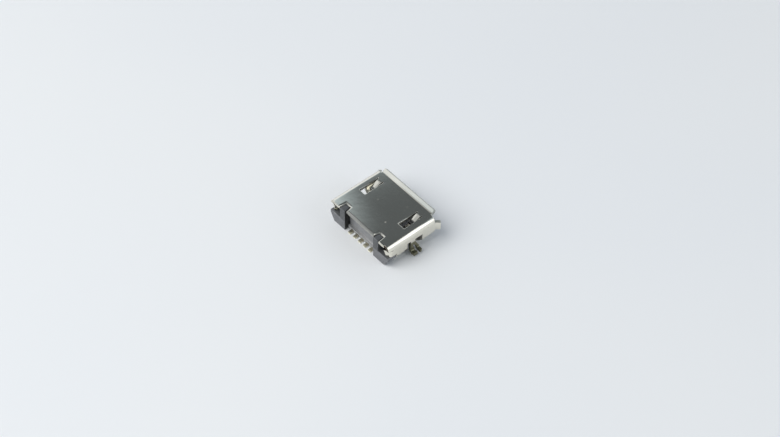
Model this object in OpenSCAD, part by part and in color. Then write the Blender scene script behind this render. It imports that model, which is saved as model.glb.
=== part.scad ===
// Micro USB socket: a folded sheet shell around a moulded housing with five stamped contacts.
// The mouth faces -Y, the solder feet face +Y, and the board lies under Z = 0.

/* [Mouth] */
// Clear width of the plug opening
mouth_w = 6.9; // [6.6:0.05:7.6]
// Clear height of the plug opening
mouth_h = 1.85; // [1.75:0.05:2.4]
// Size of the slanted lower corners of the opening
mouth_bevel = 0.6; // [0.45:0.05:0.75]

/* [Shell sheet] */
// Thickness of the shell's sheet
sheet_t = 0.3; // [0.2:0.02:0.34]
// Length of the tube from its rear edge to the roots of the lips
shell_l = 5.22; // [5:0.02:6.5]
// Inner radius of the two upper bends
top_bend_r = 0.25; // [0.15:0.05:0.4]
// Inner radius of the bends beside the slanted corners
bevel_bend_r = 0.15; // [0.1:0.05:0.25]

/* [Flared lips] */
// Angle by which each lip leans outward
lip_angle = 45; // [30:5:60]
// Inner radius of the fold behind each lip
lip_bend_r = 0.2; // [0.1:0.05:0.3]
// Flat length between the tube's front edge and the fold of each lip
lip_root_l = 0.05; // [0.02:0.01:0.15]
// Flat length of each lip
lip_l = 0.3; // [0.15:0.05:0.5]
// Radius of the lips' free corners
lip_corner_r = 0.12; // [0.05:0.01:0.14]
// Distance by which each lip stops short of the bends at its ends
lip_relief = 0.04; // [0.02:0.01:0.1]

/* [Spring windows] */
// Distance between the centre lines of the two windows in the top
window_spacing = 5.04; // [4.7:0.02:5.4]
// Width of each window
window_w = 0.7; // [0.6:0.02:0.8]
// Length of each window
window_l = 2.06; // [1.8:0.02:2.4]
// Distance from the tube's front edge to the front end of each window
window_front = 0.62; // [0.45:0.01:0.9]
// Width of the spring finger in each window
finger_w = 0.5; // [0.4:0.02:0.54]
// Slope of the finger down into the mouth
finger_slope = 26; // [15:1:32]
// Inner radius of the finger's bends
finger_bend_r = 0.3; // [0.15:0.05:0.4]
// Flat length between the window's front end and the finger's first bend
finger_root_l = 0.05; // [0.02:0.01:0.15]
// Flat length of the sloping part
finger_l = 0.5; // [0.3:0.05:0.7]
// Length of the level tip of the finger
finger_tip_l = 0.2; // [0.2:0.02:0.3]
// Radius of the finger tip's free corners
finger_corner_r = 0.08; // [0.04:0.01:0.09]

/* [Rear notches] */
// Distance between the centre lines of the two notches in the top's rear edge
notch_spacing = 4.28; // [4:0.02:4.6]
// Width of each notch at its inner end
notch_w = 0.6; // [0.5:0.02:0.7]
// Width that each notch gains towards the rear edge
notch_flare = 0.14; // [0:0.02:0.2]
// Depth of each notch from the rear edge
notch_d = 0.68; // [0.6:0.02:0.8]
// Distance by which the tongue of sheet between the notches stops short of the rear edge
rear_tongue_back = 0.12; // [0:0.02:0.2]
// Distance by which the upper bends stop short of the rear edge
bend_back = 0.1; // [0:0.02:0.2]

/* [Crimped wall ends] */
// Distance from the shell's rear edge to the root of each crimped wall end
crimp_back = 0.6; // [0.5:0.02:0.62]
// Angle by which each wall end is bent in behind the housing
crimp_angle = 65; // [45:5:75]
// Inner radius of that bend
crimp_bend_r = 0.08; // [0.05:0.01:0.15]
// Flat length between the crimp's root and its bend
crimp_root_l = 0.05; // [0.02:0.01:0.08]
// Flat length of each crimped end along its upper edge
crimp_l = 0.42; // [0.32:0.02:0.46]
// Length by which its lower edge is shorter
crimp_slant = 0.26; // [0:0.02:0.28]
// Slit between a crimped end and the bend above it
crimp_slit = 0.06; // [0.04:0.01:0.1]

/* [Floor] */
// Distance from the shell's rear edge to the floor's rear edge between the ears
floor_back = 1.44; // [1.38:0.01:1.48]
// Width of the slit where the two ends of the sheet meet
seam_gap = 0.04; // [0.02:0.01:0.06]
// Width of the seam's locking tab at its root
seam_tab_w = 0.9; // [0.6:0.05:1.2]
// Width that the locking tab gains on each side towards its tip
seam_tab_flare = 0.18; // [0.1:0.02:0.3]
// Length of the locking tab
seam_tab_l = 0.7; // [0.5:0.05:0.9]
// Distance between the centre lines of the two latch holes
latch_spacing = 4.36; // [4.2:0.02:4.5]
// Width of each latch hole
latch_w = 0.7; // [0.6:0.02:0.74]
// Length of each latch hole
latch_l = 1.3; // [1:0.05:1.5]
// Distance from the tube's front edge to the front end of each latch hole
latch_front = 0.9; // [0.6:0.05:1.2]

/* [Solder legs] */
// Distance from the shell's rear edge to the middle of the legs
leg_back = 3; // [2.6:0.02:3.2]
// Width of each leg at its foot
leg_w = 0.92; // [0.8:0.02:1.1]
// Width of each leg at its root
leg_root_w = 0.5; // [0.4:0.02:0.7]
// Height at which the leg's front edge starts to slant back
leg_slant_low = 0.46; // [0.44:0.02:0.6]
// Height at which that slant ends
leg_slant_high = 1.2; // [1.05:0.05:1.25]
// Height of the leg's root above the board
leg_root_z = 1.5; // [1.2:0.05:1.6]
// Length of the gap in the side wall around each leg
leg_gap_l = 1.62; // [1.4:0.02:1.8]
// Inner radius of the bend above each foot
leg_bend_r = 0.12; // [0.08:0.02:0.2]
// Flat length of each foot
foot_l = 0.3; // [0.2:0.05:0.5]
// Radius of the foot's free corners
foot_corner_r = 0.1; // [0.04:0.02:0.14]
// Width of the front prong of the forked foot
prong_w = 0.25; // [0.2:0.01:0.3]
// Width of the slit between the prongs at the foot
fork_w = 0.25; // [0.15:0.01:0.3]
// Width of the slit at its upper end
fork_top_w = 0.12; // [0.08:0.01:0.14]
// Distance by which the slit's upper end lies further back
fork_lean = 0.16; // [0.1:0.01:0.18]
// Height of the slit's upper end above the board
fork_z = 0.85; // [0.6:0.05:1]

/* [Housing] */
// Gap between the moulding and the sheet
fit_gap = 0.03; // [0.02:0.01:0.06]
// Distance from the shell's rear edge to the rear wall between the posts
wall_back = 0.67; // [0.66:0.01:0.8]
// Distance from the shell's rear edge to the front of the rear block
block_front = 1.5; // [1.4:0.05:1.8]
// Height of the ears at the rear corners
ear_h = 1.1; // [0.95:0.05:1.3]
// Depth of the ears
ear_d = 0.92; // [0.85:0.02:1.05]
// Distance from the shell's outer side to the ear's outer side
ear_inset = 0.05; // [0:0.01:0.1]
// Width of the bevel at the ear's lower outer corner
ear_bevel_w = 0.46; // [0.2:0.02:0.5]
// Height of that bevel
ear_bevel_h = 0.78; // [0.4:0.02:0.8]
// Gap around the post in its notch
post_gap = 0.07; // [0.04:0.01:0.1]
// Distance by which the post's top lies under the shell's top
post_drop = 0.1; // [0.02:0.02:0.2]
// Distance from the shell's rear edge to the rear of the ledge over the solder feet
ledge_back = 0.42; // [0.3:0.02:0.5]
// Height of the ledge over the solder feet
ledge_h = 0.4; // [0.3:0.02:0.6]

/* [Tongue] */
// Width of the tongue
tongue_w = 3.7; // [3.4:0.05:3.9]
// Thickness of the tongue
tongue_t = 0.62; // [0.5:0.02:0.7]
// Gap between the tongue and the shell's top
tongue_top_gap = 0.42; // [0.38:0.02:0.5]
// Distance from the tube's front edge back to the tongue's tip
tongue_front = 0.7; // [0.4:0.05:1]
// Size of the lead-in bevel around the tongue's tip
tongue_bevel = 0.15; // [0.05:0.01:0.2]

/* [Contacts] */
// Distance between the contacts' centre lines
contact_pitch = 0.65; // [0.6:0.01:0.7]
// Width of each contact
contact_w = 0.3; // [0.2:0.02:0.36]
// Thickness of each contact
contact_t = 0.15; // [0.1:0.01:0.2]
// Inner radius of each contact's bends
contact_bend_r = 0.1; // [0.07:0.01:0.14]
// Distance by which each pad stands below the tongue
pad_proud = 0.04; // [0.02:0.01:0.08]
// Distance from the tongue's tip to each pad's tip
pad_back = 0.25; // [0.22:0.01:0.6]
// Distance from the shell's rear edge to the front of each contact's upright run
upright_back = 1.2; // [1.1:0.02:1.3]
// Distance from the shell's rear edge to the end of each solder foot
lead_back = 0.02; // [-0.2:0.02:0.1]
// Gap around each contact in its channel
channel_gap = 0.02; // [0.01:0.01:0.04]

/* [Hidden] */
// Number of contacts
contact_count = 5;
$fn = 48;
// Reach of a cutter past the surface that it opens
past = 0.5;
// Outer sizes of the tube
shell_w = mouth_w + 2 * sheet_t;
shell_h = mouth_h + 2 * sheet_t;
rear_y = shell_l / 2;
front_y = -shell_l / 2;
// Turn of a strip at a square corner
square_turn = 90;
// Turn of the sheet at each end of a slanted corner, and the flat length that such a bend takes up
bevel_turn = square_turn / 2;
bevel_tangent = bevel_bend_r * tan(bevel_turn / 2);
// Flat lengths of the folded tube, from the middle of the floor to the middle of the top
floor_flat = mouth_w / 2 - mouth_bevel - bevel_tangent;
bevel_flat = mouth_bevel / sin(bevel_turn) - 2 * bevel_tangent;
wall_flat = mouth_h - mouth_bevel - bevel_tangent - top_bend_r;
top_flat = mouth_w / 2 - top_bend_r;
wall_top_z = shell_h - sheet_t - top_bend_r;
wall_mid_z = wall_top_z - wall_flat / 2;
// Height of the opening in the tube's lower rear end that lets the ears out
rear_cut_z = ear_h + fit_gap;
rear_cut_d = ear_d + fit_gap;
// Height of a crimped wall end
crimp_h = wall_top_z - crimp_slit - rear_cut_z;
// Places of the legs and windows
leg_y = rear_y - leg_back;
window_y = front_y + window_front;
latch_y = front_y + latch_front;
// Half the distance between the ears
ear_inner_x = notch_spacing / 2 - notch_w / 2 + post_gap;
ear_outer_x = shell_w / 2 - ear_inset;
// Half the width of the ledge over the solder feet, which reaches into both ears
ledge_x = ear_inner_x + post_gap;
// Heights of the tongue
tongue_top_z = shell_h - sheet_t - tongue_top_gap;
tongue_low_z = tongue_top_z - tongue_t;
tongue_tip_y = front_y + tongue_front;
// Path of a contact, from its pad's tip to its solder foot
pad_z = tongue_low_z - pad_proud;
pad_tip_y = tongue_tip_y + pad_back;
pad_l = rear_y - upright_back - contact_bend_r - pad_tip_y;
upright_l = pad_z - 2 * contact_bend_r - contact_t;
lead_l = upright_back - lead_back - contact_t - contact_bend_r;
contact_path = [
    [pad_l, -square_turn, contact_bend_r],
    [upright_l, square_turn, contact_bend_r],
    [lead_l, 0, 0]
];

// A flat tab along +X with its free corners rounded
module leaf(length, width, corner_r, thick = sheet_t) {
    linear_extrude(thick) {
        translate([0, -width / 2]) square([length - corner_r, width]);
        translate([0, corner_r - width / 2]) square([length, width - 2 * corner_r]);
        for (side = [-1, 1]) translate([length - corner_r, side * (width / 2 - corner_r)]) circle(corner_r);
    }
}

// One bend of a sheet that runs along +X; what follows it is placed at its far end
module bend(turn, radius, width, thick) {
    axis_z = turn > 0 ? thick + radius : -radius;
    start = turn > 0 ? -90 : 90 + turn;
    translate([0, 0, axis_z]) {
        if (turn != 0) rotate([90, 0, 0]) rotate([0, 0, start])
            rotate_extrude(angle = abs(turn)) translate([radius, -width / 2]) square([thick, width]);
        rotate([0, -turn, 0]) translate([0, 0, -axis_z]) children();
    }
}

// A folded strip: each step is a flat length, the turn after it and that bend's inner radius
module folded(steps, width, thick = sheet_t, i = 0) {
    if (i == len(steps)) {
        children();
    } else {
        step = steps[i];
        if (step.x > 0) translate([0, -width / 2, 0]) cube([step.x, width, thick]);
        translate([step.x, 0, 0]) bend(step.y, step.z, width, thick)
            folded(steps, width, thick, i + 1) children();
    }
}

// Both sides of what is drawn at +X
module both_sides() {
    children();
    mirror([1, 0, 0]) children();
}

// The tube, folded right round from one side of the seam to the other
module tube() {
    translate([seam_gap / 2, 0, 0]) folded([
        [floor_flat - seam_gap / 2, bevel_turn, bevel_bend_r],
        [bevel_flat, bevel_turn, bevel_bend_r],
        [wall_flat, square_turn, top_bend_r],
        [2 * top_flat, square_turn, top_bend_r],
        [wall_flat, bevel_turn, bevel_bend_r],
        [bevel_flat, bevel_turn, bevel_bend_r],
        [floor_flat - seam_gap / 2, 0, 0]
    ], shell_l);
}

// Outline of a rear notch, drawn smaller all round by a margin
module notch_plan(margin) {
    inner_half = notch_w / 2 - margin;
    rear_half = inner_half + notch_flare / 2;
    translate([notch_spacing / 2, rear_y]) polygon([
        [-inner_half, margin - notch_d], [inner_half, margin - notch_d], [rear_half, 0], [-rear_half, 0]
    ]);
}

// Outline of the seam's locking tab, drawn larger all round by a margin
module seam_tab_plan(margin) {
    root = seam_tab_w / 2 + margin;
    tip = root + seam_tab_flare;
    polygon([[seam_gap / 2, -root], [seam_gap / 2, root], [-seam_tab_l - margin, tip], [-seam_tab_l - margin, -tip]]);
}

// What is punched out of the sheet on each side
module side_cuts() {
    translate([window_spacing / 2 - window_w / 2, window_y, shell_h - sheet_t - past])
        cube([window_w, window_l, sheet_t + 2 * past]);
    translate([latch_spacing / 2 - latch_w / 2, latch_y, -past]) cube([latch_w, latch_l, sheet_t + 2 * past]);
    translate([floor_flat, leg_y - leg_gap_l / 2, -past]) cube([shell_w, leg_gap_l, leg_root_z + past]);
    translate([0, 0, shell_h - sheet_t - past]) linear_extrude(sheet_t + 2 * past) {
        notch_plan(0);
        translate([notch_spacing / 2 - (notch_w + notch_flare) / 2, rear_y]) square([notch_w + notch_flare, past]);
        translate([0, rear_y - rear_tongue_back]) square([notch_spacing / 2, past]);
        translate([top_flat, rear_y - bend_back]) square([shell_w, past]);
    }
    translate([0, rear_y - floor_back, -past]) cube([ledge_x + fit_gap, floor_back, sheet_t + 2 * past]);
    translate([mouth_w / 2 - past, rear_y - crimp_back, wall_top_z - shell_h]) cube([shell_w, shell_l, shell_h]);
    translate([mouth_w / 2 - past, rear_y - bend_back, 0]) cube([shell_w, shell_l, shell_h - sheet_t]);
}

// A lip at the mouth, leaning towards +Z as it runs along +X
module lip(width, lean = lip_angle) {
    folded([[lip_root_l, lean, lip_bend_r]], width) leaf(lip_l, width, lip_corner_r);
}

// The four lips: a whole one above and at each side, and two halves beside the seam below
module lips() {
    translate([0, front_y, shell_h - sheet_t]) rotate([0, 0, -90]) lip(2 * (top_flat - lip_relief));
    both_sides() {
        translate([shell_w / 2 - sheet_t, front_y, wall_mid_z]) rotate([-90, 0, -90]) lip(wall_flat - 2 * lip_relief);
        translate([(floor_flat + lip_relief) / 2, front_y, 0]) rotate([0, 0, -90])
            lip(floor_flat - 3 * lip_relief, -lip_angle);
    }
}

// A spring finger, rooted at the front end of its window
module finger() {
    translate([window_spacing / 2, window_y, shell_h - sheet_t]) rotate([0, 0, 90])
        folded([[finger_root_l, -finger_slope, finger_bend_r], [finger_l, finger_slope, finger_bend_r]], finger_w)
            leaf(finger_tip_l, finger_w, finger_corner_r);
}

// The rear end of a side wall, bent in behind the housing
module crimp() {
    translate([shell_w / 2 - sheet_t, rear_y - crimp_back, rear_cut_z + crimp_h / 2]) rotate([90, 0, 90])
        folded([[crimp_root_l, -crimp_angle, crimp_bend_r]], crimp_h) linear_extrude(sheet_t) polygon([
            [0, -crimp_h / 2], [crimp_l - crimp_slant, -crimp_h / 2], [crimp_l, crimp_h / 2], [0, crimp_h / 2]
        ]);
}

// A forked solder leg, down from the side wall and out along the board
module leg() {
    drop = leg_root_z - sheet_t - leg_bend_r;
    difference() {
        translate([shell_w / 2 - sheet_t, leg_y, leg_root_z]) rotate([0, 90, 0])
            folded([[drop, square_turn, leg_bend_r]], leg_w) leaf(foot_l, leg_w, foot_corner_r);
        translate([mouth_w / 2 - past, leg_y, 0]) rotate([90, 0, 90]) linear_extrude(shell_w) {
            leg_front_plan();
            fork_plan();
        }
    }
}

// What is cut off the front of a leg, drawn in Y and Z around the leg's middle
module leg_front_plan() {
    front = -leg_w / 2;
    root = leg_w / 2 - leg_root_w;
    polygon([
        [front, leg_slant_low], [root, leg_slant_high], [root, leg_root_z + past],
        [front - past, leg_root_z + past], [front - past, leg_slant_low]
    ]);
}

// The slit between a leg's prongs, drawn in the same way
module fork_plan() {
    front = prong_w - leg_w / 2;
    rear = front + fork_w;
    top = rear + fork_lean;
    polygon([
        [front, -past], [rear, -past], [rear, leg_slant_low],
        [top, fork_z], [top - fork_top_w, fork_z], [front, leg_slant_low]
    ]);
}

// The folded shell
module shell() {
    color("silver") {
        difference() {
            tube();
            both_sides() side_cuts();
            translate([0, 0, -past]) linear_extrude(sheet_t + 2 * past) seam_tab_plan(seam_gap);
            translate([-shell_w, rear_y - rear_cut_d, -past]) cube([2 * shell_w, rear_cut_d + past, rear_cut_z + past]);
        }
        linear_extrude(sheet_t) seam_tab_plan(0);
        lips();
        both_sides() {
            finger();
            leg();
            crimp();
        }
    }
}

// Half of the opening's outline with the fitting gap taken off, from the middle to +X
module mouth_half_plan() {
    side = mouth_w / 2 - fit_gap;
    low = sheet_t + fit_gap;
    high = shell_h - sheet_t - fit_gap;
    polygon([
        [0, low], [side - mouth_bevel, low], [side, low + mouth_bevel],
        [side, high - top_bend_r], [side - top_bend_r, high], [0, high]
    ]);
}

// A solid of a section in X and Z, between two distances from the shell's rear edge
module along_depth(rear, front) {
    translate([0, rear_y - rear, 0]) rotate([90, 0, 0]) linear_extrude(front - rear) children();
}

// An ear with its post, at +X
module ear() {
    along_depth(0, ear_d) polygon([
        [ear_inner_x, 0], [ear_outer_x - ear_bevel_w, 0], [ear_outer_x, ear_bevel_h],
        [ear_outer_x, ear_h], [ear_inner_x, ear_h]
    ]);
    linear_extrude(shell_h - post_drop) notch_plan(post_gap);
}

// The tongue, bevelled at its tip
module tongue() {
    translate([-tongue_w / 2, 0, 0]) rotate([90, 0, 90]) linear_extrude(tongue_w) polygon([
        [tongue_tip_y, tongue_low_z + tongue_bevel], [tongue_tip_y + tongue_bevel, tongue_low_z],
        [rear_y - block_front + fit_gap, tongue_low_z], [rear_y - block_front + fit_gap, tongue_top_z],
        [tongue_tip_y + tongue_bevel, tongue_top_z], [tongue_tip_y, tongue_top_z - tongue_bevel]
    ]);
}

// The moulded housing
module housing() {
    color("dimgray") difference() {
        union() {
            both_sides() {
                along_depth(wall_back, block_front) mouth_half_plan();
                ear();
                along_depth(ledge_back, floor_back - fit_gap) square([ledge_x, ledge_h]);
            }
            tongue();
        }
        for (i = [1:contact_count]) contact_shape(i, channel_gap);
    }
}

// A contact's folded strip, drawn larger all round by a margin
module contact_shape(i, margin) {
    last = len(contact_path) - 1;
    steps = [for (k = [0:last]) [
        contact_path[k].x + (k == 0 || k == last ? margin : 0), contact_path[k].y, contact_path[k].z - margin
    ]];
    translate([(i - (contact_count + 1) / 2) * contact_pitch, pad_tip_y - margin, pad_z - margin])
        rotate([0, 0, 90]) folded(steps, contact_w + 2 * margin, contact_t + 2 * margin);
}

// One stamped contact
module contact(i) {
    color("gold") contact_shape(i, 0);
}

shell();
housing();
for (i = [1:contact_count]) contact(i);
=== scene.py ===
"""Looks of a surface-mount socket: a plated shell, a moulded housing and a row of contacts."""

import logging
import math
from dataclasses import dataclass, field
from enum import Enum

import bmesh
import bpy
from mathutils import Matrix, Vector
from mathutils.bvhtree import BVHTree


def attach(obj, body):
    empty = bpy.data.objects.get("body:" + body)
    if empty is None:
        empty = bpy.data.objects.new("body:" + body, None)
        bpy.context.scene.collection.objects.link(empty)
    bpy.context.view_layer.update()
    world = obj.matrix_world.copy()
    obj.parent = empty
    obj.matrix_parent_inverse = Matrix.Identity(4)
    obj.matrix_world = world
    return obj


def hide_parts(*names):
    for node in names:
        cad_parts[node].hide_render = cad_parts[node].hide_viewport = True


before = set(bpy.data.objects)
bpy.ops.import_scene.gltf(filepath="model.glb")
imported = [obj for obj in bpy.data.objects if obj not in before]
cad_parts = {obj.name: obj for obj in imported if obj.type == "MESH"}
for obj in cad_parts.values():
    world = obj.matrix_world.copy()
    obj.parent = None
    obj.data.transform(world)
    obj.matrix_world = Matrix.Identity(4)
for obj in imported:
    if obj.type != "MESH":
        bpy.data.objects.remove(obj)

LOG = logging.getLogger("surface_mount_socket")
MM = 0.001
PER_MM = 1.0 / MM

Colour = tuple[float, float, float]
Way = tuple[float, float, float]
Socket = bpy.types.NodeSocket
Value = float | Socket
Tint = Colour | Socket
Inputs = dict[str | int, Value | Colour]


class Mark(Enum):
    """Face attributes that the finishes read."""

    RIM = "rim"
    CUT = "cut"


@dataclass(frozen=True)
class Step:
    """A smooth step: the readings where it starts and ends, and what it gives before and after."""

    low: float
    high: float
    before: float = 0.0
    after: float = 1.0


@dataclass(frozen=True)
class Place:
    """A point of the surface: its X, its distance from the middle plane, its Y and its Z."""

    across: Socket
    side: Socket
    along: Socket
    up: Socket


class Graph:
    """A node tree with short ways to add nodes and join them."""

    # A Mix node's colour sockets go by number, because its other sockets have the same names
    MIX_FIRST = 6
    MIX_SECOND = 7
    MIX_RESULT = 2

    def __init__(self, tree: bpy.types.NodeTree) -> None:
        """Start from an empty tree.

        Args:
            tree: the node tree to fill.
        """
        self.tree = tree
        self.tree.nodes.clear()

    def add(self, kind: str, inputs: Inputs | None = None, **settings: object) -> bpy.types.Node:
        """Add a node.

        Args:
            kind: the node's type, without its ShaderNode prefix.
            inputs: values for its sockets by name or number; a socket there is joined instead.
            settings: the node's own properties.

        Returns:
            The new node.
        """
        prefix = "" if kind.startswith("NodeGroup") else "ShaderNode"
        node = self.tree.nodes.new(prefix + kind)
        for name, value in settings.items():
            setattr(node, name, value)
        for name, value in (inputs or {}).items():
            if isinstance(value, Socket):
                self.tree.links.new(value, node.inputs[name])
            elif node.inputs[name].type == "RGBA":
                node.inputs[name].default_value = (*value, 1.0)
            else:
                node.inputs[name].default_value = value
        return node

    def place(self) -> Place:
        """Where a point lies in the piece's own coordinates.

        Returns:
            The point.
        """
        split = self.add("SeparateXYZ", {0: self.add("TexCoord").outputs["Object"]})
        across, along, up = split.outputs
        return Place(across, self.math("ABSOLUTE", across), along, up)

    def math(self, operation: str, *values: Value) -> Socket:
        """The result of a Math node on numbers or sockets, in their order."""
        return self.add("Math", dict(enumerate(values)), operation=operation).outputs[0]

    def product(self, first: Value, *others: Value) -> Value:
        """Multiply numbers or sockets; masks then give the place where all of them hold.

        Args:
            first: the first factor.
            others: the other factors.

        Returns:
            The product.
        """
        for other in others:
            first = self.math("MULTIPLY", first, other)
        return first

    def blend(self, share: Value, first: Tint, second: Tint) -> Socket:
        """A mix of two colours, from the first at a share of 0 to the second at 1."""
        wanted = {"Factor": share, self.MIX_FIRST: first, self.MIX_SECOND: second}
        return self.add("Mix", wanted, data_type="RGBA").outputs[self.MIX_RESULT]

    def layered(self, base: Tint, *layers: tuple[Value, Colour]) -> Tint:
        """Lay colours over each other.

        Args:
            base: the lowest colour.
            layers: the share and the colour of each layer, from the lowest up.

        Returns:
            The colour that shows.
        """
        for share, tint in layers:
            base = self.blend(share, base, tint)
        return base

    def ramp(self, value: Socket, step: Step) -> Socket:
        """Lead a value through a smooth step.

        Args:
            value: the reading.
            step: the step.

        Returns:
            The stepped value.
        """
        wanted = {
            "Value": value, "From Min": step.low, "From Max": step.high,
            "To Min": step.before, "To Max": step.after,
        }
        return self.add("MapRange", wanted, interpolation_type="SMOOTHSTEP").outputs[0]

    def facing(self, way: Socket, towards: Way) -> Socket:
        """The cosine between a direction and a fixed one."""
        node = self.add("VectorMath", {0: way, 1: towards}, operation="DOT_PRODUCT")
        return node.outputs["Value"]

    def relief(
        self, height: Socket, share: float = 1.0, depth: float = 1.0, under: Socket | None = None,
    ) -> Socket:
        """Turn heights into a normal.

        Args:
            height: the height of the relief.
            share: how much of the relief shows.
            depth: what a height of 1 stands for, in metres.
            under: the normal of a coarser relief below this one.

        Returns:
            The normal.
        """
        wanted = {"Strength": share, "Distance": depth, "Height": height}
        if under is not None:
            wanted["Normal"] = under
        return self.add("Bump", wanted).outputs[0]

    def surface(self, inputs: Inputs) -> None:
        """End a material in one shader."""
        shader = self.add("BsdfPrincipled", inputs)
        self.add("OutputMaterial", {"Surface": shader.outputs[0]})


@dataclass(frozen=True)
class Span:
    """A range in millimetres, open where an end isn't given, and how far its ends fade."""

    low: float | None = None
    high: float | None = None
    fade_in: float = 0.0
    fade_out: float = 0.0

    def limits(self, g: Graph, value: Socket) -> list[Socket]:
        """The masks of the ends that are given.

        Args:
            g: the material's graph.
            value: the reading in metres.

        Returns:
            A mask for each end, soft where it fades.
        """
        found = []
        if self.low is not None and self.fade_in:
            fade = Step(self.low * MM, (self.low + self.fade_in) * MM)
            found.append(g.ramp(value, fade))
        elif self.low is not None:
            found.append(g.math("GREATER_THAN", value, self.low * MM))
        if self.high is not None and self.fade_out:
            fade = Step((self.high - self.fade_out) * MM, self.high * MM, before=1.0, after=0.0)
            found.append(g.ramp(value, fade))
        elif self.high is not None:
            found.append(g.math("LESS_THAN", value, self.high * MM))
        return found


@dataclass(frozen=True)
class Zone:
    """A part of a piece, by spans of X, of the distance from the middle plane, of Y and of Z."""

    across: Span = Span()
    side: Span = Span()
    along: Span = Span()
    up: Span = Span()

    def mask(self, g: Graph, at: Place) -> Value:
        """Where the surface lies in the zone.

        Args:
            g: the material's graph.
            at: the point of the surface.

        Returns:
            The mask, 1 in the zone.
        """
        pairs = (
            (self.across, at.across), (self.side, at.side),
            (self.along, at.along), (self.up, at.up),
        )
        return g.product(*(limit for span, value in pairs for limit in span.limits(g, value)))


def new_group(
    name: str, inputs: dict[str, float], outputs: tuple[str, ...],
) -> tuple[Graph, bpy.types.Node, bpy.types.Node]:
    """A shader node group whose sockets are all plain values.

    Args:
        name: the group's name.
        inputs: each input with its usual value.
        outputs: the names of its outputs.

    Returns:
        The group's graph, its input node and its output node.
    """
    tree = bpy.data.node_groups.new(name, "ShaderNodeTree")
    for label, usual in inputs.items():
        socket = tree.interface.new_socket(label, in_out="INPUT", socket_type="NodeSocketFloat")
        socket.default_value = usual
    for label in outputs:
        tree.interface.new_socket(label, in_out="OUTPUT", socket_type="NodeSocketFloat")
    graph = Graph(tree)
    return graph, graph.add("NodeGroupInput"), graph.add("NodeGroupOutput")


@dataclass
class SurfaceEffects:
    """The node groups that more than one finish uses, each built once."""

    grain_detail: float = 3.0
    mottle_detail: float = 2.0
    grain_roughness: float = 0.55
    line_detail: float = 2.0
    line_roughness: float = 0.6
    grain: bpy.types.NodeTree = field(init=False)
    rolled: bpy.types.NodeTree = field(init=False)
    specks: bpy.types.NodeTree = field(init=False)

    def __post_init__(self) -> None:
        """Build the groups."""
        self.grain = self._grain()
        self.rolled = self._rolled()
        self.specks = self._specks()

    def _grain(self) -> bpy.types.NodeTree:
        """Fine uneven relief with a slower mottle over it.

        Returns:
            The node group.
        """
        graph, given, out = new_group(
            "surface_grain", {"Size mm": 0.05, "Mottle mm": 1.0}, ("Height", "Mottle"),
        )
        place = graph.add("TexCoord").outputs["Object"]
        for label, detail, target in (
            ("Size mm", self.grain_detail, "Height"), ("Mottle mm", self.mottle_detail, "Mottle"),
        ):
            scale = graph.math("DIVIDE", PER_MM, given.outputs[label])
            noise = graph.add("TexNoise", {
                "Vector": place, "Scale": scale,
                "Detail": detail, "Roughness": self.grain_roughness,
            })
            graph.tree.links.new(noise.outputs["Fac"], out.inputs[target])
        return graph.tree

    def _rolled(self) -> bpy.types.NodeTree:
        """Faint lines that run along Y, as rolled strip has.

        Returns:
            The node group.
        """
        graph, given, out = new_group(
            "rolled_lines", {"Width mm": 0.03, "Length mm": 1.2}, ("Lines",),
        )
        at = graph.place()
        narrow = graph.math("DIVIDE", PER_MM, given.outputs["Width mm"])
        drawn = graph.math("DIVIDE", PER_MM, given.outputs["Length mm"])
        stretched = graph.add("CombineXYZ", {
            "X": graph.product(at.across, narrow),
            "Y": graph.product(at.along, drawn),
            "Z": graph.product(at.up, narrow),
        })
        noise = graph.add("TexNoise", {
            "Vector": stretched.outputs[0], "Scale": 1.0,
            "Detail": self.line_detail, "Roughness": self.line_roughness,
        })
        graph.tree.links.new(noise.outputs["Fac"], out.inputs["Lines"])
        return graph.tree

    @staticmethod
    def _specks() -> bpy.types.NodeTree:
        """Scattered small round marks, in a share of the cells of an uneven pattern.

        Returns:
            The node group.
        """
        graph, given, out = new_group(
            "scattered_specks", {"Spacing mm": 0.6, "Radius": 0.08, "Share": 0.3}, ("Mask",),
        )
        place = graph.add("TexCoord").outputs["Object"]
        scale = graph.math("DIVIDE", PER_MM, given.outputs["Spacing mm"])
        cells = graph.add("TexVoronoi", {"Vector": place, "Scale": scale, "Randomness": 1.0})
        chance = graph.add("SeparateColor", {0: cells.outputs["Color"]}).outputs[0]
        kept = graph.math("LESS_THAN", chance, given.outputs["Share"])
        reach = graph.math("DIVIDE", cells.outputs["Distance"], given.outputs["Radius"])
        near = graph.math("MAXIMUM", graph.math("SUBTRACT", 1.0, reach), 0.0)
        graph.tree.links.new(graph.product(kept, near), out.inputs["Mask"])
        return graph.tree


@dataclass(frozen=True)
class Finish:
    """What every finish has: a name, and ways to start a material and to read effects and marks."""

    name: str

    def start(self) -> tuple[bpy.types.Material, Graph]:
        """Begin the material.

        Returns:
            The new material and its empty graph.
        """
        material = bpy.data.materials.new(self.name)
        material.use_nodes = True
        return material, Graph(material.node_tree)

    @staticmethod
    def effect(g: Graph, tree: bpy.types.NodeTree, **values: float) -> bpy.types.Node:
        """Place a shared effect in a material.

        Args:
            g: the material's graph.
            tree: the effect's node group.
            values: its inputs, with underscores for spaces.

        Returns:
            The group node.
        """
        node = g.add("Group", node_tree=tree)
        for label, value in values.items():
            node.inputs[label.replace("_", " ")].default_value = value
        return node

    @staticmethod
    def mark(g: Graph, mark: Mark) -> Socket:
        """A face attribute as a value."""
        return g.add("Attribute", attribute_name=mark.value).outputs["Fac"]


@dataclass(frozen=True)
class PlatingWear:
    """The patterns and masks that the plating's colour, gloss and relief share."""

    grain: Socket
    mottle: Socket
    lines: Socket
    specks: Socket
    rim: Socket
    cut: Socket
    lips: Socket
    crimp_glint: Socket
    core: Socket
    legs: Socket


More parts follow.
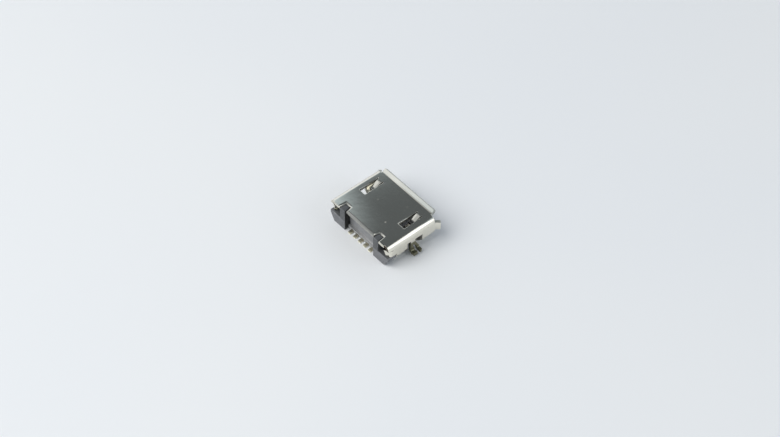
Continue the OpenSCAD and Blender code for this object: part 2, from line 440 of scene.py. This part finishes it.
@dataclass(frozen=True)
class PlatedFinish(Finish):
    """Bright plating on stamped strip, with dull cuts, darker legs, a painted shade on the inner
    side and a crowned top.
    """

    plating: Colour = (0.845, 0.815, 0.715)
    dulled: Colour = (0.755, 0.725, 0.63)
    sheared: Colour = (0.34, 0.335, 0.31)
    # pale yellow of the bare brass crimp end, painted as a bright glint
    gold: Colour = (0.96, 0.92, 0.62)
    # the bare core, painted nearly black as the shade of the hole where the bend ends
    dark_core_shade: Colour = (0.065, 0.042, 0.024)
    # dark olive of the legs
    leg_dark_olive: Colour = (0.17, 0.165, 0.10)
    # painted shade for the inside of the tube
    painted_inner_shade: Colour = (0.25, 0.235, 0.215)
    matt: Colour = (0.42, 0.43, 0.39)

    # Sizes of the patterns
    grain_mm: float = 0.045
    mottle_mm: float = 1.6
    line_mm: float = 0.028
    line_run_mm: float = 0.7
    speck_gap_mm: float = 0.8
    speck_radius: float = 0.15
    speck_share: float = 0.5
    cloud_mm: float = 0.5

    # How the patterns colour the sheet
    line_dullness: float = 0.35
    dull_patches: Step = Step(0.45, 0.95)
    dull_share: float = 0.8
    torn_patches: Step = Step(0.3, 0.7, 0.5, 0.9)
    worn_share: float = 0.8
    crimp_glint_patches: Step = Step(0.2, 0.5, 0.8, 1.0)
    leg_dark_patches: Step = Step(0.3, 0.7, 0.8, 1.0)

    # Gloss and metal
    gloss: Step = Step(0.6, 1.4, 0.09, 0.18)
    rim_polish: float = 0.03
    cut_age: float = 0.7
    age_roughness: float = 0.28
    least_metal: float = 0.15
    lip_dullness: float = 0.7
    speck_metal: Step = Step(0.0, 0.6, 1.0, 0.72)

    # Fine relief
    line_relief: float = 0.5
    grain_relief: float = 0.5
    speck_relief: float = 1.5
    relief_share: float = 0.25
    relief_depth: float = 0.004 * MM

    # Crown and curl of the pressed top
    crown: float = 0.1263 * MM
    crown_half: float = 3.75 * MM
    curl: float = 0.0274 / MM
    curl_half: float = 3.2 * MM
    curl_least: float = 0.01
    curl_power: float = 0.3
    curl_from: float = -0.02 * MM
    cloud_depth: float = 0.004 * MM

    # The middle of the sheet where one upper bend ends, as an arc about the bend's centre; its bare
    # cut is painted nearly black as shade
    bend_x: float = 3.2 * MM
    bend_z: float = 1.9 * MM
    bend_radius: float = 0.4 * MM
    bend_band: Step = Step(0.1 * MM, 0.14 * MM, before=1.0, after=0.0)
    bend_zone: Zone = Zone(
        across=Span(high=0.0), side=Span(low=3.2), along=Span(low=2.44), up=Span(low=1.9),
    )
    # The slit below that bend, whose cut faces get the same painted shade
    slit_zone: Zone = Zone(
        across=Span(high=0.0), side=Span(low=3.0), along=Span(low=2.05), up=Span(1.82, 1.86),
    )
    # The inner side of the tube behind the mouth, painted darker as shade inside the tube
    inner_shade_zone: Zone = Zone(
        across=Span(high=1.9), side=Span(high=3.47),
        along=Span(-2.5, 1.6, fade_in=0.6), up=Span(0.28, 2.17),
    )
    # The cut ends of the lips
    lip_zone: Zone = Zone(along=Span(high=-2.62))
    # The rear edge of the top between the notches, which has worn dull
    tongue_zone: Zone = Zone(side=Span(high=1.72, fade_out=0.1), along=Span(low=2.2))
    # The rear cuts of the top beside that edge, which the punch left bright
    notch_zone: Zone = Zone(
        side=Span(low=1.72, fade_in=0.1), along=Span(low=1.85), up=Span(low=2.0),
    )
    # The crimped end of one side wall: its bare brass end, painted pale yellow and nearly non-metal
    # as a bright glint
    crimp_zone: Zone = Zone(
        across=Span(low=0.0), side=Span(high=3.3),
        along=Span(low=2.16), up=Span(high=1.6, fade_out=0.2),
    )
    # The solder legs, darkened to a dark olive in patches, fading out towards their roots
    leg_zone: Zone = Zone(
        side=Span(low=3.38), along=Span(-1.02, 0.18), up=Span(high=1.42, fade_out=0.25),
    )

    def build(self, effects: SurfaceEffects) -> bpy.types.Material:
        """Make the material.

        Args:
            effects: the shared node groups.

        Returns:
            The material.
        """
        material, g = self.start()
        at = g.place()
        wear = self._wear(g, at, effects)
        clouds = self.effect(g, effects.grain, Mottle_mm=self.cloud_mm).outputs["Mottle"]
        g.surface({
            "Base Color": self._colour(g, at, wear),
            "Metallic": self._metal(g, wear),
            "Roughness": self._roughness(g, wear),
            "Normal": self._normal(g, wear, self._warp(g, at, clouds)),
        })
        return material

    def _wear(self, g: Graph, at: Place, effects: SurfaceEffects) -> PlatingWear:
        """Lay out the patterns and masks.

        Args:
            g: the material's graph.
            at: the point of the surface.
            effects: the shared node groups.

        Returns:
            The patterns and masks.
        """
        grain = self.effect(g, effects.grain, Size_mm=self.grain_mm, Mottle_mm=self.mottle_mm)
        lines = self.effect(g, effects.rolled, Width_mm=self.line_mm, Length_mm=self.line_run_mm)
        specks = self.effect(
            g, effects.specks,
            Spacing_mm=self.speck_gap_mm, Radius=self.speck_radius, Share=self.speck_share,
        )
        cut = self.mark(g, Mark.CUT)
        bend_end_and_slit = g.math("MAXIMUM", self._bend_end(g, at), self.slit_zone.mask(g, at))
        return PlatingWear(
            grain=grain.outputs["Height"],
            mottle=grain.outputs["Mottle"],
            lines=lines.outputs["Lines"],
            specks=specks.outputs["Mask"],
            rim=self.mark(g, Mark.RIM),
            cut=cut,
            lips=g.product(cut, self.lip_zone.mask(g, at)),
            crimp_glint=self.crimp_zone.mask(g, at),
            core=g.product(cut, bend_end_and_slit),
            legs=self.leg_zone.mask(g, at),
        )

    def _colour(self, g: Graph, at: Place, wear: PlatingWear) -> Tint:
        """Colour the plating by its patterns and by place.

        Args:
            g: the material's graph.
            at: the point of the surface.
            wear: the patterns and masks.

        Returns:
            The colour.
        """
        uneven = g.math("ADD", wear.mottle, g.product(wear.lines, self.line_dullness))
        dull = g.product(g.ramp(uneven, self.dull_patches), self.dull_share)
        torn = g.product(wear.cut, g.ramp(wear.grain, self.torn_patches))
        torn = g.product(torn, g.math("SUBTRACT", 1.0, self.notch_zone.mask(g, at)))
        worn = g.product(wear.rim, self.tongue_zone.mask(g, at), self.worn_share)
        return g.layered(
            self.plating,
            (dull, self.dulled),
            (torn, self.sheared),
            # painted shade inside the tube behind the mouth
            (self.inner_shade_zone.mask(g, at), self.painted_inner_shade),
            (wear.lips, self.matt),
            (worn, self.sheared),
            # the crimp's bare brass end, painted pale yellow as a bright glint
            (g.product(wear.crimp_glint, g.ramp(wear.mottle, self.crimp_glint_patches)), self.gold),
            # the bare core where the bend ends and in the slit, painted nearly black as shade
            (wear.core, self.dark_core_shade),
            # the legs, darkened to a dark olive in patches
            (g.product(wear.legs, g.ramp(wear.grain, self.leg_dark_patches)), self.leg_dark_olive),
        )

    def _metal(self, g: Graph, wear: PlatingWear) -> Socket:
        """How far the surface shines as metal, which the painted glint on the crimp, lips' ends and
        specks do less.

        Args:
            g: the material's graph.
            wear: the patterns and masks.

        Returns:
            The share of metal.
        """
        plain = g.math("MAXIMUM", wear.crimp_glint, g.product(wear.lips, self.lip_dullness))
        metal = g.math("MULTIPLY_ADD", plain, self.least_metal - 1.0, 1.0)
        return g.math("MINIMUM", g.ramp(wear.specks, self.speck_metal), metal)

    def _roughness(self, g: Graph, wear: PlatingWear) -> Socket:
        """Roughness: uneven on the sheet, less on the rims, and more on cuts and legs.

        Args:
            g: the material's graph.
            wear: the patterns and masks.

        Returns:
            The roughness.
        """
        rough = g.ramp(g.math("ADD", wear.lines, wear.mottle), self.gloss)
        rough = g.math("SUBTRACT", rough, g.product(wear.rim, self.rim_polish))
        aged = g.math("MAXIMUM", wear.core, wear.legs)
        aged = g.math("MAXIMUM", g.product(wear.cut, self.cut_age), aged)
        return g.math("ADD", rough, g.product(aged, self.age_roughness))

    def _normal(self, g: Graph, wear: PlatingWear, warp: Socket) -> Socket:
        """The normal over the warp of the sheet and the fine relief on it.

        Args:
            g: the material's graph.
            wear: the patterns and masks.
            warp: how far the sheet stands off a plane, in metres.

        Returns:
            The normal.
        """
        lined = g.product(wear.lines, self.line_relief)
        grained = g.product(wear.grain, self.grain_relief)
        specked = g.product(wear.specks, self.speck_relief)
        fine = g.math("ADD", g.math("ADD", lined, grained), specked)
        return g.relief(fine, self.relief_share, self.relief_depth, under=g.relief(warp))

    def _warp(self, g: Graph, at: Place, clouds: Socket) -> Socket:
        """How far the sheet stands off a plane: crowned, curled up at the rear and cloudy.

        Args:
            g: the material's graph.
            at: the point of the surface.
            clouds: a slow mottle.

        Returns:
            The height in metres.
        """
        reach = g.math("DIVIDE", at.across, self.crown_half)
        sag = g.product(reach, reach, -self.crown)
        inward = g.math("MINIMUM", g.math("DIVIDE", at.across, self.curl_half), 1.0)
        inward = g.math("MAXIMUM", inward, -1.0)
        half, middle = (1.0 - self.curl_least) / 2.0, (1.0 + self.curl_least) / 2.0
        share = g.math("POWER", g.math("MULTIPLY_ADD", inward, half, middle), self.curl_power)
        rise = g.math("MAXIMUM", g.math("SUBTRACT", at.along, self.curl_from), 0.0)
        lift = g.product(rise, rise, self.curl, share)
        return g.math("MULTIPLY_ADD", clouds, self.cloud_depth, g.math("ADD", sag, lift))

    def _bend_end(self, g: Graph, at: Place) -> Socket:
        """The middle of the sheet where the upper bend ends, where the bare cut is painted as
        shade.

        Args:
            g: the material's graph.
            at: the point of the surface.

        Returns:
            The mask.
        """
        out = g.math("SUBTRACT", at.side, self.bend_x)
        rise = g.math("SUBTRACT", at.up, self.bend_z)
        radius = g.math("SQRT", g.math("ADD", g.product(out, out), g.product(rise, rise)))
        off = g.math("ABSOLUTE", g.math("SUBTRACT", radius, self.bend_radius))
        return g.product(g.ramp(off, self.bend_band), self.bend_zone.mask(g, at))


@dataclass(frozen=True)
class MouldedFinish(Finish):
    """Dark grey filled plastic: fine grain, rubbed edges, painted light and shade around the rear.
    """

    body: Colour = (0.178, 0.181, 0.190)
    deep: Colour = (0.148, 0.151, 0.160)
    rubbed: Colour = (0.26, 0.265, 0.275)
    # painted shade for the upper ends of the posts
    painted_post_shade: Colour = (0.088, 0.092, 0.096)
    # painted shade for the pockets and the ears' inner sides
    painted_pocket_shade: Colour = (0.018, 0.018, 0.018)
    # painted light for the recess between the ears
    painted_recess_light: Colour = (0.30, 0.305, 0.31)
    # painted light for the ledge at the recess's foot
    painted_ledge_light: Colour = (0.44, 0.44, 0.44)

    # Sizes of the patterns
    grain_mm: float = 0.035
    mottle_mm: float = 0.5
    speck_gap_mm: float = 0.25
    speck_radius: float = 0.12
    speck_share: float = 0.25

    # How the patterns colour and roughen the plastic
    body_patches: Step = Step(0.3, 0.7)
    recess_light_patches: Step = Step(0.3, 0.7, 0.6, 0.9)
    ledge_light_share: float = 0.7
    rubbed_patches: Step = Step(0.35, 0.65, 0.2, 0.7)
    speck_paleness: float = 0.5
    gloss: Step = Step(0.3, 0.7, 0.42, 0.6)
    relief_share: float = 0.5
    relief_depth: float = 0.006 * MM

    # The upper ends of the posts, painted darker as shade under the shell
    post_shade_zone: Zone = Zone(along=Span(low=2.0), up=Span(low=1.04, fade_in=0.08))
    # The recess between the ears, and the ledge at its foot, both painted lighter as light on them
    recess_zone: Zone = Zone(side=Span(high=1.95, fade_out=0.1), along=Span(1.92, 2.22))
    ledge_zone: Zone = Zone(
        side=Span(high=1.95, fade_out=0.1), along=Span(1.92, 2.22), up=Span(high=0.45),
    )
    # The inner sides of the ears, painted near black as shade
    ear_shade_zone: Zone = Zone(side=Span(1.825, 1.925), along=Span(1.95, 2.585))
    # The pockets beside the posts, painted near black as shade
    pocket_shade_zone: Zone = Zone(side=Span(low=2.4), along=Span(high=2.0), up=Span(low=1.08))

    def build(self, effects: SurfaceEffects) -> bpy.types.Material:
        """Make the material.

        Args:
            effects: the shared node groups.

        Returns:
            The material.
        """
        material, g = self.start()
        at = g.place()
        grain = self.effect(g, effects.grain, Size_mm=self.grain_mm, Mottle_mm=self.mottle_mm)
        height, mottle = grain.outputs["Height"], grain.outputs["Mottle"]
        specks = self.effect(
            g, effects.specks,
            Spacing_mm=self.speck_gap_mm, Radius=self.speck_radius, Share=self.speck_share,
        )
        # painted light on the recess, in patches
        recess_light = g.product(self.recess_zone.mask(g, at), g.ramp(mottle, self.recess_light_patches))
        pale = g.product(self.mark(g, Mark.RIM), g.ramp(mottle, self.rubbed_patches))
        pale = g.math("MAXIMUM", pale, g.product(specks.outputs["Mask"], self.speck_paleness))
        colour = g.layered(
            self.deep,
            (g.ramp(mottle, self.body_patches), self.body),
            # painted shade on the upper ends of the posts
            (self.post_shade_zone.mask(g, at), self.painted_post_shade),
            # painted light on the recess
            (recess_light, self.painted_recess_light),
            # painted light on the ledge
            (g.product(self.ledge_zone.mask(g, at), self.ledge_light_share), self.painted_ledge_light),
            # painted shade on the ears' inner sides and in the pockets
            (self.ear_shade_zone.mask(g, at), self.painted_pocket_shade),
            (self.pocket_shade_zone.mask(g, at), self.painted_pocket_shade),
            (pale, self.rubbed),
        )
        g.surface({
            "Base Color": colour,
            "Roughness": g.ramp(height, self.gloss),
            "Normal": g.relief(height, self.relief_share, self.relief_depth),
        })
        return material


@dataclass(frozen=True)
class ContactFinish(Finish):
    """Gold on the pads, dull tin-washed strip at the solder feet and paler bare ends."""

    gold: Colour = (0.83, 0.62, 0.26)
    foot: Colour = (0.60, 0.55, 0.42)
    end: Colour = (0.90, 0.85, 0.66)
    grain_mm: float = 0.03
    mottle_mm: float = 0.35
    line_mm: float = 0.02
    line_run_mm: float = 0.4
    wander: float = 0.15 * MM
    foot_start: Step = Step(1.6 * MM, 1.8 * MM)
    end_start: Step = Step(2.44 * MM, 2.54 * MM)
    gloss: Step = Step(0.6, 1.4, 0.22, 0.42)
    foot_roughness: float = 0.12
    line_relief: float = 0.6
    grain_relief: float = 0.4
    relief_share: float = 0.3
    relief_depth: float = 0.004 * MM

    def build(self, effects: SurfaceEffects) -> bpy.types.Material:
        """Make the material.

        Args:
            effects: the shared node groups.

        Returns:
            The material.
        """
        material, g = self.start()
        grain = self.effect(g, effects.grain, Size_mm=self.grain_mm, Mottle_mm=self.mottle_mm)
        height, mottle = grain.outputs["Height"], grain.outputs["Mottle"]
        lines = self.effect(
            g, effects.rolled, Width_mm=self.line_mm, Length_mm=self.line_run_mm,
        ).outputs["Lines"]
        edge = g.math("ADD", g.place().along, g.product(mottle, self.wander))
        feet = g.ramp(edge, self.foot_start)
        rough = g.ramp(g.math("ADD", lines, mottle), self.gloss)
        lined = g.product(lines, self.line_relief)
        fine = g.math("ADD", lined, g.product(height, self.grain_relief))
        ends = g.ramp(edge, self.end_start)
        g.surface({
            "Base Color": g.layered(self.gold, (feet, self.foot), (ends, self.end)),
            "Metallic": 1.0,
            "Roughness": g.math("ADD", rough, g.product(feet, self.foot_roughness)),
            "Normal": g.relief(fine, self.relief_share, self.relief_depth),
        })
        return material


@dataclass(frozen=True)
class TableFinish(Finish):
    """Pale matt board with a hardly visible mottle."""

    pale: Colour = (0.85, 0.865, 0.875)
    cloudy: Colour = (0.83, 0.85, 0.87)
    cloud_scale: float = 25.0
    cloud_detail: float = 1.0
    clouds: Step = Step(0.3, 0.7)
    rough: float = 0.7
    shine: float = 0.2

    def build(self) -> bpy.types.Material:
        """Make the material.

        Returns:
            The material.
        """
        material, g = self.start()
        place = g.add("TexCoord").outputs["Object"]
        noise = g.add("TexNoise", {
            "Vector": place, "Scale": self.cloud_scale, "Detail": self.cloud_detail,
        })
        colour = g.blend(g.ramp(noise.outputs["Fac"], self.clouds), self.pale, self.cloudy)
        g.surface({"Base Color": colour, "Roughness": self.rough, "Specular IOR Level": self.shine})
        return material


def placed(bm: bmesh.types.BMesh, name: str, material: bpy.types.Material) -> bpy.types.Object:
    """Turn a finished mesh into an object of the scene.

    Args:
        bm: the mesh, which is freed.
        name: the object's name.
        material: its finish.

    Returns:
        The object.
    """
    mesh = bpy.data.meshes.new(name)
    bm.to_mesh(mesh)
    bm.free()
    mesh.materials.append(material)
    made = bpy.data.objects.new(name, mesh)
    bpy.context.scene.collection.objects.link(made)
    return made


@dataclass(frozen=True)
class EdgeRoll:
    """Edges of the flat top that the punch drew down: how far, in how many faces, and where."""

    width: float
    steps: int
    behind_y: float
    inside_x: float
    shortest: float = 0.2 * MM


@dataclass(frozen=True)
class DressedPiece:
    """A CAD node redrawn with softened edges."""

    node: str
    slot: str
    rim_width: float
    rim_steps: int = 2
    rolls: tuple[EdgeRoll, ...] = ()
    sheet: float = 0.0
    sheet_slack: float = 1.15
    skin: float = 0.002 * MM
    sharp_from: float = math.radians(28)
    flat_within: float = math.radians(0.5)
    level_from: float = 0.999
    weld: float = 0.0002 * MM
    sliver: float = 0.0004 * MM
    face_weight: int = 60

    def build(self, material: bpy.types.Material) -> None:
        """Copy the node, round its outer edges, mark its faces and let the copy stand for it.

        Args:
            material: the finish of the piece.
        """
        bm = bmesh.new()
        bm.from_mesh(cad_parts[self.node].data)
        bmesh.ops.remove_doubles(bm, verts=bm.verts, dist=self.weld)
        self._close_slivers(bm)
        bmesh.ops.dissolve_limit(bm, angle_limit=self.flat_within, verts=bm.verts, edges=bm.edges)
        self._mark_cuts(bm)
        rim = bm.faces.layers.float.new(Mark.RIM.value)
        for roll in self.rolls:
            self._round(bm, rim, self._rolled_edges(bm, roll), roll.width, roll.steps)
        self._round(bm, rim, self._sharp_edges(bm), self.rim_width, self.rim_steps)
        for face in bm.faces:
            face.smooth = True
        piece = placed(bm, self.node + "_dressed", material)
        normals = piece.modifiers.new("flat_faces_first", "WEIGHTED_NORMAL")
        normals.keep_sharp = True
        normals.weight = self.face_weight
        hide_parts(self.node)
        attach(piece, "root")
        LOG.info("%s: %d faces", piece.name, len(piece.data.polygons))

    def _close_slivers(self, bm: bmesh.types.BMesh) -> None:
        """Take out triangles without width, so that flat faces merge into clean outlines.

        The long edge of such a triangle is split where its third corner lies on it, and the two
        points are welded.

        Args:
            bm: the piece's mesh.
        """
        found = True
        while found:
            found = False
            for face in list(bm.faces):
                longest = max(face.edges, key=lambda edge: edge.calc_length())
                length = longest.calc_length()
                if 2.0 * face.calc_area() >= length * self.sliver:
                    continue
                start, end = longest.verts
                way = (end.co - start.co) / length
                for corner in face.verts:
                    reach = (corner.co - start.co).dot(way)
                    if corner not in longest.verts and self.weld < reach < length - self.weld:
                        bmesh.utils.edge_split(longest, start, reach / length)[1].co = corner.co
                        found = True
                        break
            bmesh.ops.remove_doubles(bm, verts=bm.verts, dist=self.weld)

    def _mark_cuts(self, bm: bmesh.types.BMesh) -> None:
        """Mark the faces that a cut left, which have more than a sheet's thickness behind them.

        Args:
            bm: the piece's mesh.
        """
        cut = bm.faces.layers.float.new(Mark.CUT.value)
        if not self.sheet:
            return
        tree = BVHTree.FromBMesh(bm)
        widest: dict[bmesh.types.BMFace, tuple[float, Vector]] = {}
        for triangle in bm.calc_loop_triangles():
            a, b, c = (loop.vert.co for loop in triangle)
            size = (b - a).cross(c - a).length
            face = triangle[0].face
            if face not in widest or size > widest[face][0]:
                widest[face] = (size, (a + b + c) / 3.0)
        for face, (_, middle) in widest.items():
            distance = tree.ray_cast(middle - face.normal * self.skin, -face.normal)[3]
            thin = distance is not None and distance <= self.sheet * self.sheet_slack
            face[cut] = 0.0 if thin else 1.0

    def _sharp_edges(self, bm: bmesh.types.BMesh) -> list[bmesh.types.BMEdge]:
        """The outer edges that turn sharply."""
        outer = (edge for edge in bm.edges if edge.is_manifold)
        return [edge for edge in outer if edge.calc_face_angle_signed(0.0) > self.sharp_from]

    def _is_level(self, face: bmesh.types.BMFace) -> bool:
        """Whether a face looks straight up."""
        return face.normal.z > self.level_from

    def _rolled_edges(self, bm: bmesh.types.BMesh, roll: EdgeRoll) -> list[bmesh.types.BMEdge]:
        """The sharp edges around the flat top that a roll takes in.

        Args:
            bm: the piece's mesh.
            roll: the roll.

        Returns:
            The edges.
        """
        largest = max(filter(self._is_level, bm.faces), key=lambda face: face.calc_area())
        top = largest.verts[0].co.z
        found = []
        for edge in self._sharp_edges(bm):
            middle = (edge.verts[0].co + edge.verts[1].co) / 2.0
            near = middle.y > roll.behind_y and abs(middle.x) < roll.inside_x
            level = all(abs(corner.co.z - top) < self.weld for corner in edge.verts)
            beside_top = any(self._is_level(face) for face in edge.link_faces)
            if near and level and beside_top and edge.calc_length() > roll.shortest:
                found.append(edge)
        return found

    @staticmethod
    def _round(
        bm: bmesh.types.BMesh, rim: bmesh.types.BMLayerItem, edges: list[bmesh.types.BMEdge],
        width: float, steps: int,
    ) -> None:
        """Round some edges and mark the faces that this makes.

        Args:
            bm: the piece's mesh.
            rim: the layer for the marks.
            edges: what to round.
            width: how far the rounding reaches from each edge.
            steps: how many faces go around it.
        """
        made = bmesh.ops.bevel(
            bm, geom=edges, offset=width, offset_type="OFFSET", segments=steps, profile=0.5,
            affect="EDGES", clamp_overlap=False, material=-1, loop_slide=True,
        )
        for face in made["faces"]:
            face[rim] = 1.0


@dataclass(frozen=True)
class Shell:
    """The folded shell, with wider drawn-down edges at its rear notches and windows."""

    finish: PlatedFinish = PlatedFinish("bright_plating")
    sheet: float = 0.3 * MM
    rim_width: float = 0.024 * MM
    rim_steps: int = 3
    rear_roll: EdgeRoll = EdgeRoll(
        width=0.18 * MM, steps=6, behind_y=1.5 * MM, inside_x=2.6 * MM,
    )
    window_roll: EdgeRoll = EdgeRoll(
        width=0.07 * MM, steps=4, behind_y=-2.4 * MM, inside_x=2.9 * MM,
    )

    def build(self, effects: SurfaceEffects) -> None:
        """Redraw the shell in its plating.

        Args:
            effects: the shared node groups.
        """
        rolls = (self.rear_roll, self.window_roll)
        piece = DressedPiece("shell", "shell", self.rim_width, self.rim_steps, rolls, self.sheet)
        piece.build(self.finish.build(effects))


@dataclass(frozen=True)
class Housing:
    """The moulded housing."""

    finish: MouldedFinish = MouldedFinish("moulded_plastic")
    rim_width: float = 0.03 * MM

    def build(self, effects: SurfaceEffects) -> None:
        """Redraw the housing in its plastic."""
        DressedPiece("housing", "housing", self.rim_width).build(self.finish.build(effects))


@dataclass(frozen=True)
class ContactRow:
    """The stamped contacts."""

    finish: ContactFinish = ContactFinish("contact_plating")
    rim_width: float = 0.015 * MM

    def build(self, effects: SurfaceEffects) -> None:
        """Redraw each contact in its plating.

        Args:
            effects: the shared node groups.
        """
        material = self.finish.build(effects)
        for name in sorted(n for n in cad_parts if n.startswith("contact_")):
            DressedPiece(name, "contact", self.rim_width).build(material)


@dataclass(frozen=True)
class ViewPoint:
    """The camera, in degrees and millimetres."""

    azimuth: float = 228.867
    elevation: float = 48.826
    roll: float = 0.457
    distance: float = 151.72
    aim: Way = (0.331, -1.153, 0.0)
    lens: float = 82.108
    sensor: float = 36.0
    nearest: float = 1.0
    farthest: float = 10000.0

    def build(self) -> None:
        """Make the scene's camera."""
        turn, lift, roll = (math.radians(a) for a in (self.azimuth, self.elevation, self.roll))
        level = math.cos(lift)
        back = Vector((math.sin(turn) * level, -math.cos(turn) * level, math.sin(lift)))
        right = Vector((math.cos(turn), math.sin(turn), 0.0))
        up = back.cross(right)
        across = right * math.cos(roll) + up * math.sin(roll)
        upright = up * math.cos(roll) - right * math.sin(roll)
        data = bpy.data.cameras.new("camera")
        data.lens = self.lens
        data.sensor_width = self.sensor
        data.clip_start = self.nearest * MM
        data.clip_end = self.farthest * MM
        camera = bpy.data.objects.new("camera", data)
        turned = Matrix((across, upright, back)).transposed().to_4x4()
        stand = (Vector(self.aim) + back * self.distance) * MM
        camera.matrix_world = Matrix.Translation(stand) @ turned
        bpy.context.scene.collection.objects.link(camera)
        bpy.context.scene.camera = camera


@dataclass(frozen=True)
class SoftBox:
    """A rectangular area lamp that faces the object, in metres."""

    name: str
    towards: Way
    distance: float
    width: float
    height: float
    radiance: float
    colour: Colour
    mirrored: bool = True

    def build(self) -> None:
        """Place the lamp."""
        data = bpy.data.lights.new(self.name, "AREA")
        data.shape = "RECTANGLE"
        data.size = self.width
        data.size_y = self.height
        data.energy = self.radiance * math.pi * self.width * self.height
        data.color = self.colour
        lamp = bpy.data.objects.new(self.name, data)
        direction = Vector(self.towards).normalized()
        turned = direction.to_track_quat("Z", "Y").to_matrix().to_4x4()
        lamp.matrix_world = Matrix.Translation(direction * self.distance) @ turned
        lamp.visible_camera = False
        lamp.visible_glossy = self.mirrored
        bpy.context.scene.collection.objects.link(lamp)


@dataclass(frozen=True)
class Glow:
    """A paler patch of the room's ceiling, by a step over the cosine to its middle."""

    towards: Way
    colour: Colour
    spread: Step


@dataclass(frozen=True)
class Studio:
    """The pale table, the lamps and the room around them."""

    table: TableFinish = TableFinish("pale_table")
    table_radius: float = 1.2
    table_corners: int = 96
    rest_digits: int = 7
    horizon: Colour = (0.905, 0.94, 1.0)
    upper: Colour = (0.79, 0.94, 1.06)
    ceiling: Colour = (0.1055, 0.119, 0.1325)
    # Steps over the height of a direction
    upper_from: Step = Step(0.40, 0.56)
    ceiling_from: Step = Step(0.40, 0.746)
    # The side behind the viewer, and a step over the cosine to it
    viewer: Way = (-0.753, 0.658, 0.0)
    viewer_dimness: Step = Step(0.2, 0.85, 0.0, 0.7)
    glows: tuple[Glow, ...] = (
        Glow((0.45, 0.30, 0.841), (0.48, 0.50, 0.53), Step(0.84, 0.95)),
        Glow((0.70, 0.28, 0.657), (0.83, 0.86, 0.91), Step(0.945, 0.985)),
    )
    lamps: tuple[SoftBox, ...] = (
        SoftBox(
            "key_box", towards=(0.24, 0.58, 0.78), distance=0.36, width=0.30, height=0.30,
            radiance=3.65, colour=(1.0, 0.98, 0.95), mirrored=False,
        ),
        SoftBox(
            "window_box", towards=(-0.78, -0.43, 0.46), distance=0.34, width=0.17, height=0.28,
            radiance=0.92, colour=(0.97, 0.985, 1.0),
        ),
    )

    def build(self) -> None:
        """Set up the table, the lamps and the room."""
        self._table()
        self._room()
        for lamp in self.lamps:
            lamp.build()
        bpy.context.scene.view_settings.view_transform = "Standard"

    def _rest_line(self) -> tuple[Vector, Vector]:
        """The two places, front and rear, that the object stands on.

        They are the ends of the edge of the lower outline that passes under the origin.

        Returns:
            Both points in the plane of Y and Z.
        """
        corners = (v.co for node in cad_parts.values() for v in node.data.vertices)
        digits = self.rest_digits
        points = sorted({(round(c.y, digits), round(c.z, digits)) for c in corners})
        lower: list[tuple[float, float]] = []
        for y, z in points:
            while len(lower) > 1:
                (ay, az), (by, bz) = lower[-2:]
                if (by - ay) * (z - az) - (bz - az) * (y - ay) > 0:
                    break
                lower.pop()
            lower.append((y, z))
        front, rear = next((a, b) for a, b in zip(lower, lower[1:]) if a[0] <= 0.0 <= b[0])
        return Vector((0.0, *front)), Vector((0.0, *rear))

    def _table(self) -> None:
        """Lay a pale board under the object, level with the places that it stands on."""
        front, rear = self._rest_line()
        tilt = math.atan2(rear.z - front.z, rear.y - front.y)
        bm = bmesh.new()
        bmesh.ops.create_circle(
            bm, cap_ends=True, segments=self.table_corners, radius=self.table_radius,
        )
        turned = Matrix.Rotation(tilt, 3, "X")
        bmesh.ops.rotate(bm, verts=bm.verts, cent=(0.0, 0.0, 0.0), matrix=turned)
        drop = Vector((0.0, 0.0, front.z - front.y * math.tan(tilt)))
        bmesh.ops.translate(bm, verts=bm.verts, vec=drop)
        table = placed(bm, "table", self.table.build())
        LOG.info("table tilted by %.2f degrees", math.degrees(tilt))

    def _room(self) -> None:
        """Light the room: a bright horizon, a dim ceiling with glows, and dim behind the viewer."""
        world = bpy.data.worlds.new("room")
        bpy.context.scene.world = world
        world.use_nodes = True
        g = Graph(world.node_tree)
        way = g.add("TexCoord").outputs["Generated"]
        height = g.add("SeparateXYZ", {0: way}).outputs["Z"]
        dim = g.ramp(g.facing(way, self.viewer), self.viewer_dimness)
        dim = g.math("MAXIMUM", g.ramp(height, self.ceiling_from), dim)
        glows = (
            (g.ramp(g.facing(way, glow.towards), glow.spread), glow.colour) for glow in self.glows
        )
        walls = (g.ramp(height, self.upper_from), self.upper)
        colour = g.layered(self.horizon, walls, (dim, self.ceiling), *glows)
        shade = g.add("Background", {"Color": colour, "Strength": 1.0})
        g.add("OutputWorld", {"Surface": shade.outputs[0]})


def main() -> None:
    """Build the socket and its studio."""
    logging.basicConfig(level=logging.INFO, format="%(name)s: %(message)s")
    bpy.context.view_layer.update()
    effects = SurfaceEffects()
    for part in (Shell(), Housing(), ContactRow()):
        part.build(effects)
        LOG.info("%s built", type(part).__name__)
    Studio().build()
    ViewPoint().build()


if __name__ == "__main__":
    main()
